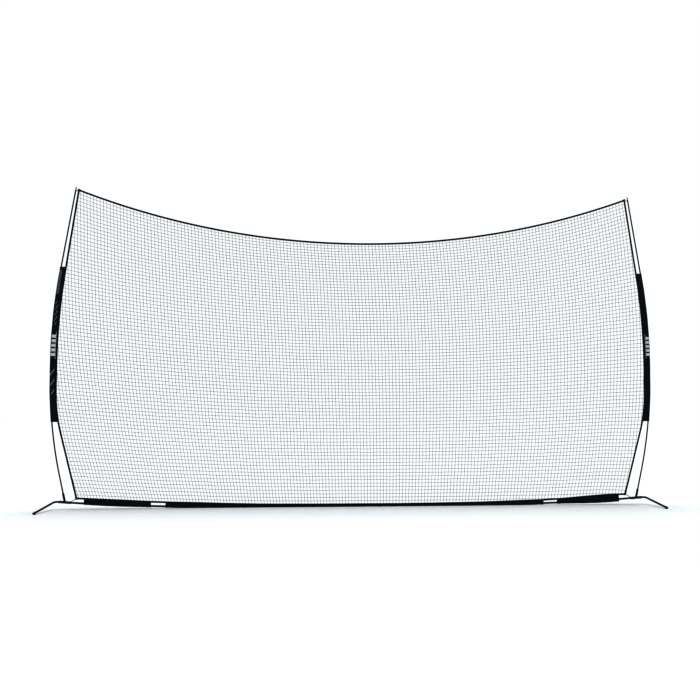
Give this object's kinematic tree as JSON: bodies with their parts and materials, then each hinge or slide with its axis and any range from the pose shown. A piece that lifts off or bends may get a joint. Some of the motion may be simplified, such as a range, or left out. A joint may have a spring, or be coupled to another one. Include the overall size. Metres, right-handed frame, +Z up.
{
  "type": "barrier net",
  "caption": "Wide free-standing sports barrier net on a low tube base: sagging fine-mesh panel held between two tall bowed poles in cloth sleeves, with fold-up front legs.",
  "frame": {"origin": "on the floor, under the middle of the whole object's box", "axes": "+Z up, X along the net, -Y the side that the legs stand out on"},
  "size_m": [6.1108, 0.4908, 3.2136],
  "materials": {
    "tube_enamel": "satin",
    "button_steel": "satin",
    "tip_rubber": "matte",
    "pole_fibreglass": "satin",
    "ferrule_steel": "satin",
    "pole_cord": "matte",
    "cap_plastic": "matte",
    "net_twine": "matte",
    "binding_tape": "matte",
    "eyelet_steel": "satin",
    "elastic_cord": "matte",
    "sleeve_cloth": "matte"
  },
  "bodies": {
    "frame": {"base_tube_end_left": "tube_enamel", "base_tube_outer_left": "tube_enamel", "base_tube_inner_left": "tube_enamel", "base_tube_inner_right": "tube_enamel", "base_tube_outer_right": "tube_enamel", "base_tube_end_right": "tube_enamel", "hub_left": "tube_enamel", "hub_right": "tube_enamel", "base_button_spring_1": "button_steel", "base_button_spring_2": "button_steel", "base_button_spring_3": "button_steel", "base_button_spring_4": "button_steel", "base_button_spring_5": "button_steel", "hub_button_spring_left": "button_steel", "hub_button_spring_right": "button_steel", "pole_lower_left": "pole_fibreglass", "pole_lower_right": "pole_fibreglass", "pole_middle_left": "pole_fibreglass", "pole_middle_right": "pole_fibreglass", "pole_upper_left": "pole_fibreglass", "pole_upper_right": "pole_fibreglass", "pole_ferrule_middle_left": "ferrule_steel", "pole_ferrule_middle_right": "ferrule_steel", "pole_ferrule_upper_left": "ferrule_steel", "pole_ferrule_upper_right": "ferrule_steel", "pole_cord_left": "pole_cord", "pole_cord_right": "pole_cord", "pole_cap_left": "cap_plastic", "pole_cap_right": "cap_plastic", "net": "net_twine", "binding_top": "binding_tape", "binding_bottom": "binding_tape", "binding_left": "binding_tape", "binding_right": "binding_tape", "corner_eyelets": "eyelet_steel", "corner_loop_left": "elastic_cord", "corner_loop_right": "elastic_cord", "corner_tie_left": "elastic_cord", "corner_tie_right": "elastic_cord", "side_sleeve_left": "sleeve_cloth", "side_sleeve_right": "sleeve_cloth", "base_sleeve_left": "sleeve_cloth", "base_sleeve_right": "sleeve_cloth", "base_sleeve_middle": "sleeve_cloth"},
    "base_button_1": {"base_button_1": "button_steel"},
    "base_button_2": {"base_button_2": "button_steel"},
    "base_button_3": {"base_button_3": "button_steel"},
    "base_button_4": {"base_button_4": "button_steel"},
    "base_button_5": {"base_button_5": "button_steel"},
    "hub_button_left": {"hub_button_left": "button_steel"},
    "leg_left": {"leg_left": "tube_enamel", "leg_tip_left": "tip_rubber", "leg_button_spring_left": "button_steel"},
    "leg_button_left": {"leg_button_left": "button_steel"},
    "hub_button_right": {"hub_button_right": "button_steel"},
    "leg_right": {"leg_right": "tube_enamel", "leg_tip_right": "tip_rubber", "leg_button_spring_right": "button_steel"},
    "leg_button_right": {"leg_button_right": "button_steel"}
  },
  "joints": [
    {"name": "leg_swing_left", "type": "hinge", "parent": "frame", "child": "leg_left", "pos_m": [-2.979, 0.22142, 0.0716], "axis": [-0.9974, 0, 0.0718], "range_deg": [0, 90]},
    {"name": "leg_swing_right", "type": "hinge", "parent": "frame", "child": "leg_right", "pos_m": [2.979, 0.22142, 0.0716], "axis": [-0.9974, 0, -0.0718], "range_deg": [0, 90]},
    {"name": "base_button_1_press", "type": "slide", "parent": "frame", "child": "base_button_1", "axis": [0, 1, 0], "range_m": [0, 0.0044], "stiffness_N_per_m": 1500, "springref_m": -0.001},
    {"name": "base_button_2_press", "type": "slide", "parent": "frame", "child": "base_button_2", "axis": [0, 1, 0], "range_m": [0, 0.0044], "stiffness_N_per_m": 1500, "springref_m": -0.001},
    {"name": "base_button_3_press", "type": "slide", "parent": "frame", "child": "base_button_3", "axis": [0, 1, 0], "range_m": [0, 0.0044], "stiffness_N_per_m": 1500, "springref_m": -0.001},
    {"name": "base_button_4_press", "type": "slide", "parent": "frame", "child": "base_button_4", "axis": [0, 1, 0], "range_m": [0, 0.0044], "stiffness_N_per_m": 1500, "springref_m": -0.001},
    {"name": "base_button_5_press", "type": "slide", "parent": "frame", "child": "base_button_5", "axis": [0, 1, 0], "range_m": [0, 0.0044], "stiffness_N_per_m": 1500, "springref_m": -0.001},
    {"name": "hub_button_left_press", "type": "slide", "parent": "frame", "child": "hub_button_left", "axis": [0, 1, 0], "range_m": [0, 0.0062], "stiffness_N_per_m": 1500, "springref_m": -0.001},
    {"name": "hub_button_right_press", "type": "slide", "parent": "frame", "child": "hub_button_right", "axis": [0, 1, 0], "range_m": [0, 0.0062], "stiffness_N_per_m": 1500, "springref_m": -0.001},
    {"name": "leg_button_left_press", "type": "slide", "parent": "leg_left", "child": "leg_button_left", "axis": [0, 1, 0], "range_m": [0, 0.0062], "stiffness_N_per_m": 1500, "springref_m": -0.001},
    {"name": "leg_button_right_press", "type": "slide", "parent": "leg_right", "child": "leg_button_right", "axis": [0, 1, 0], "range_m": [0, 0.0062], "stiffness_N_per_m": 1500, "springref_m": -0.001}
  ]
}
